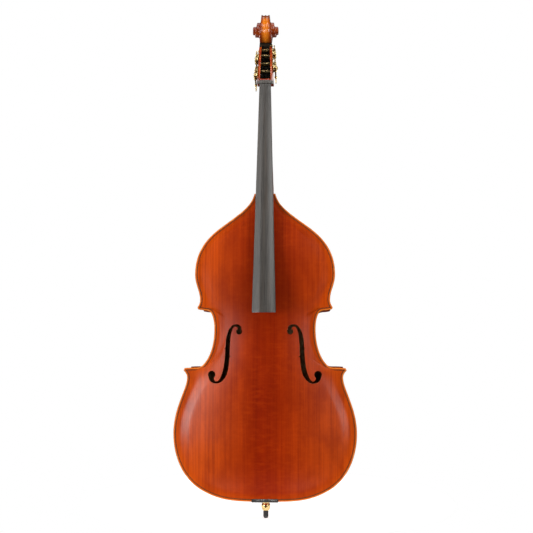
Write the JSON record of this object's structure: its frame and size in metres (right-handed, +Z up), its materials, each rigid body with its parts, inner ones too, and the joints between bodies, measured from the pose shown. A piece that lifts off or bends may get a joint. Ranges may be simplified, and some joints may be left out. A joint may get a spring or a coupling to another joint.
{
  "type": "double bass",
  "caption": "Three-quarter size double bass body with neck, scroll, geared tuners and endpin, unstrung and without bridge or tailpiece.",
  "frame": {"origin": "centre of the endpin's rubber tip where it meets the floor", "axes": "+Z up along the instrument, the top plate faces -Y, +X is the treble side (right when seen from the front)"},
  "size_m": [0.662, 0.357, 1.9028],
  "materials": {
    "spruce": "red-brown gloss varnish over straight-grained spruce",
    "maple": "orange-brown gloss varnish over flamed maple",
    "raw_spruce": "bare wood inside the body",
    "purfling": "dark inlaid strips",
    "ebony": "satin black wood with fine grain",
    "rosewood": "dark polished wood",
    "brass": "polished with a light tarnish",
    "steel": "drawn rod",
    "rubber": "matte"
  },
  "bodies": {
    "body": {"top_plate": "spruce", "back_plate": "maple", "lower_bass_rib": "maple", "lower_treble_rib": "maple", "waist_bass_rib": "maple", "waist_treble_rib": "maple", "upper_bass_rib": "maple", "upper_treble_rib": "maple", "neck_block": "raw_spruce", "end_block": "raw_spruce", "low_bass_block": "raw_spruce", "low_treble_block": "raw_spruce", "up_bass_block": "raw_spruce", "up_treble_block": "raw_spruce", "top_linings": "raw_spruce", "back_linings": "raw_spruce", "purfling_top": "purfling", "purfling_back": "purfling", "bass_bar": "raw_spruce", "sound_post": "raw_spruce", "saddle": "ebony", "endpin_plug": "rosewood", "endpin_ferrule": "brass", "neck": "maple", "fingerboard": "ebony", "nut": "ebony", "pegbox": "maple", "scroll": "maple", "tuner_screws": "brass", "tuner_plate_1": "brass", "tuner_plate_2": "brass", "tuner_plate_3": "brass", "tuner_plate_4": "brass"},
    "endpin": {"endpin_rod": "steel", "endpin_tip": "rubber"},
    "endpin_screw": {"endpin_screw": "brass"},
    "roller_1": {"roller_1": "brass", "gear_1": "brass", "gear_screw_1": "brass"},
    "worm_1": {"worm_1": "brass", "key_1": "brass"},
    "roller_2": {"roller_2": "brass", "gear_2": "brass", "gear_screw_2": "brass"},
    "worm_2": {"worm_2": "brass", "key_2": "brass"},
    "roller_3": {"roller_3": "brass", "gear_3": "brass", "gear_screw_3": "brass"},
    "worm_3": {"worm_3": "brass", "key_3": "brass"},
    "roller_4": {"roller_4": "brass", "gear_4": "brass", "gear_screw_4": "brass"},
    "worm_4": {"worm_4": "brass", "key_4": "brass"}
  },
  "joints": [
    {"name": "roller_1_turn", "type": "hinge", "parent": "body", "child": "roller_1", "pos_m": [0, -0.03489, 1.67264], "axis": [-0.9989, 0.0112, 0.0449], "continuous": true},
    {"name": "worm_1_turn", "type": "hinge", "parent": "body", "child": "worm_1", "pos_m": [-0.0391, -0.03984, 1.65278], "axis": [0, 0.9703, -0.2419], "continuous": true},
    {"name": "roller_2_turn", "type": "hinge", "parent": "body", "child": "roller_2", "pos_m": [0, -0.02666, 1.70563], "axis": [0.9989, 0.0112, 0.0449], "continuous": true},
    {"name": "worm_2_turn", "type": "hinge", "parent": "body", "child": "worm_2", "pos_m": [0.03753, -0.03163, 1.6857], "axis": [0, 0.9703, -0.2419], "continuous": true},
    {"name": "roller_3_turn", "type": "hinge", "parent": "body", "child": "roller_3", "pos_m": [0, -0.01819, 1.73959], "axis": [-0.9989, 0.0112, 0.0449], "continuous": true},
    {"name": "worm_3_turn", "type": "hinge", "parent": "body", "child": "worm_3", "pos_m": [-0.03592, -0.02318, 1.71959], "axis": [0, 0.9703, -0.2419], "continuous": true},
    {"name": "roller_4_turn", "type": "hinge", "parent": "body", "child": "roller_4", "pos_m": [0, -0.01215, 1.76385], "axis": [0.9989, 0.0112, 0.0449], "continuous": true},
    {"name": "worm_4_turn", "type": "hinge", "parent": "body", "child": "worm_4", "pos_m": [0.03476, -0.01715, 1.74379], "axis": [0, 0.9703, -0.2419], "continuous": true},
    {"name": "endpin_slide", "type": "slide", "parent": "body", "child": "endpin", "axis": [0, 0, -1], "range_m": [0, 0.25]},
    {"name": "endpin_screw_turn", "type": "hinge", "parent": "body", "child": "endpin_screw", "pos_m": [0, 0, 0.042], "axis": [0, -1, 0], "range_deg": [-720, 0]}
  ],
  "couplings": [
    {"joint": "worm_1_turn", "follows": "roller_1_turn", "ratio": -24},
    {"joint": "worm_2_turn", "follows": "roller_2_turn", "ratio": -24},
    {"joint": "worm_3_turn", "follows": "roller_3_turn", "ratio": -24},
    {"joint": "worm_4_turn", "follows": "roller_4_turn", "ratio": -24}
  ]
}
